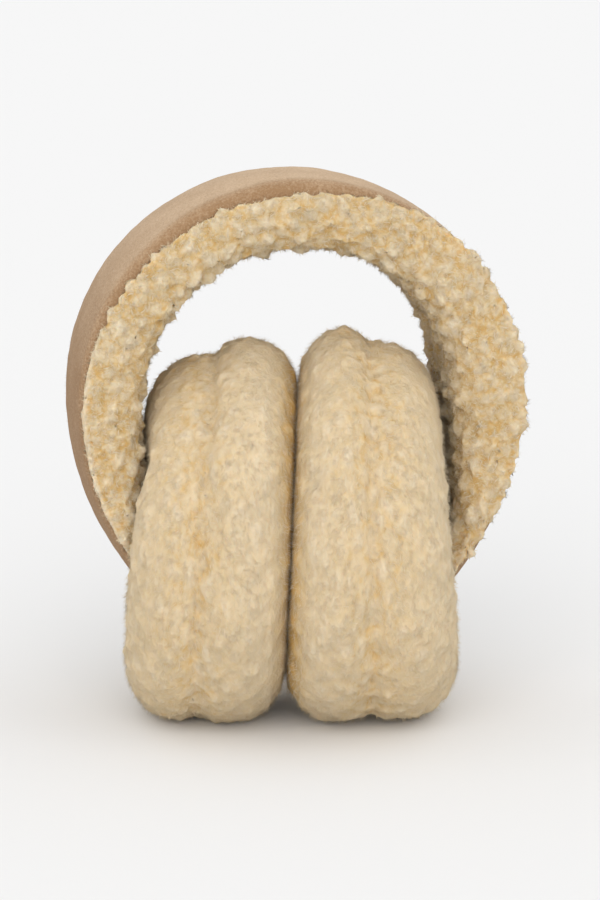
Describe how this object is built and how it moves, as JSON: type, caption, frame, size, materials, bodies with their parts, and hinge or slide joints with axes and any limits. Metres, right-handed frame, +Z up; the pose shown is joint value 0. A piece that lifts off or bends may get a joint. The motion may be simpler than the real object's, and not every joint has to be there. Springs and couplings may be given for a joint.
{
  "type": "fur earmuffs",
  "caption": "Fur earmuffs at rest: thick round sheepskin ear pads pressed together under a wide arched headband of suede lined with curly wool.",
  "frame": {"origin": "on the surface that the pads stand on, in the middle of the whole", "axes": "+Z up, from the surface to the top of the headband; X across, from the left pad to the right pad; -Y towards the front, the side that the picture shows"},
  "size_m": [0.1476, 0.13, 0.1756],
  "materials": {
    "suede": "tan suede with a short mottled nap, darker along the rolled edges",
    "band_wool": "curly cream sheepskin wool in small tight clumps",
    "pad_wool": "combed cream sheepskin wool, soft and dense"
  },
  "bodies": {
    "root": {"headband_suede": "suede", "headband_lining": "band_wool", "left_ear_fleece": "pad_wool", "left_outer_fleece": "pad_wool", "right_ear_fleece": "pad_wool", "right_outer_fleece": "pad_wool"}
  },
  "joints": []
}
